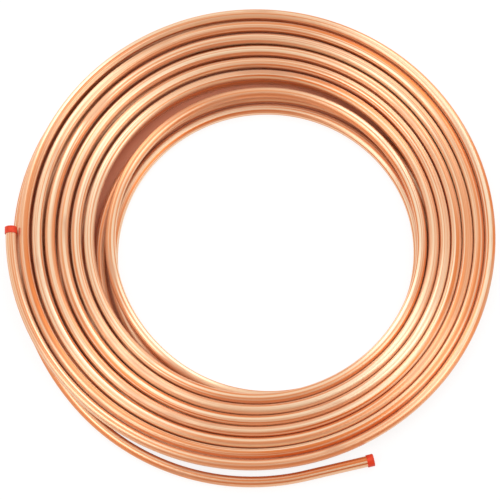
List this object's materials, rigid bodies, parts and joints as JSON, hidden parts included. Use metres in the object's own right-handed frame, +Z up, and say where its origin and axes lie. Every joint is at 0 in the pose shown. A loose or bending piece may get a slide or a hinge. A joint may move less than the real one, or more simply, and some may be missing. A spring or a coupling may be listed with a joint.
{
  "type": "copper tube coil",
  "caption": "Flat two-layer coil of soft copper tube with a push-on plastic cap on each end, for plumbing, gas or refrigerant lines.",
  "frame": {"origin": "on the floor, at the middle of the coil's outer turn", "axes": "+Z up out of the flat coil; -X towards the upper end of the tube; -Y towards the side where the lower end lies free"},
  "size_m": [0.4346, 0.4403, 0.0208],
  "materials": {
    "copper": "bright drawn copper, smooth, faint lengthwise drawing lines",
    "cap_plastic": "soft moulded red plastic, semi-matt"
  },
  "bodies": {
    "root": {"copper_tube": "copper", "upper_end_cap": "cap_plastic", "lower_end_cap": "cap_plastic"}
  },
  "joints": []
}
